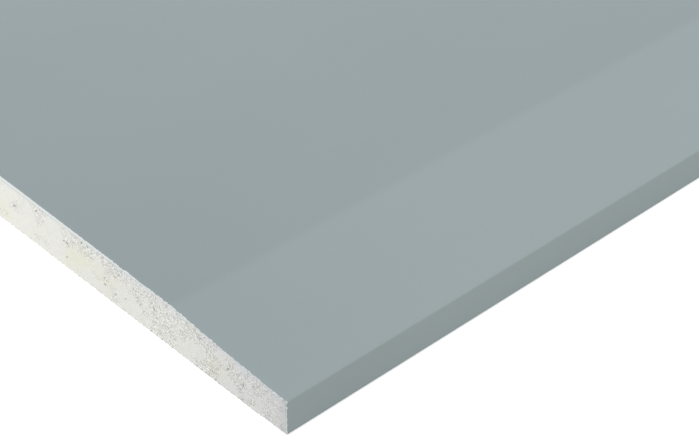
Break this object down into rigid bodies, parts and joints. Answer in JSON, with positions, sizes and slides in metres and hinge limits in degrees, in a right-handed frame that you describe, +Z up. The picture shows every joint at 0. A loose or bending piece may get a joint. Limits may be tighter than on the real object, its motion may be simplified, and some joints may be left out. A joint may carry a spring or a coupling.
{
  "type": "drywall sheet",
  "caption": "Flat plasterboard sheet with a gypsum core, grey-blue face paper and tapered long edges.",
  "frame": {"origin": "centre of the back paper's underside, where the sheet rests on the floor", "axes": "+X along the sheet, +Y across it towards a tapered long edge, +Z up out of the face"},
  "size_m": [2.4, 1.2, 0.0125],
  "materials": {
    "gypsum": "matte",
    "face_paper": "matte",
    "back_paper": "matte"
  },
  "bodies": {
    "root": {"gypsum_core": "gypsum", "face_paper": "face_paper", "back_paper": "back_paper"}
  },
  "joints": []
}
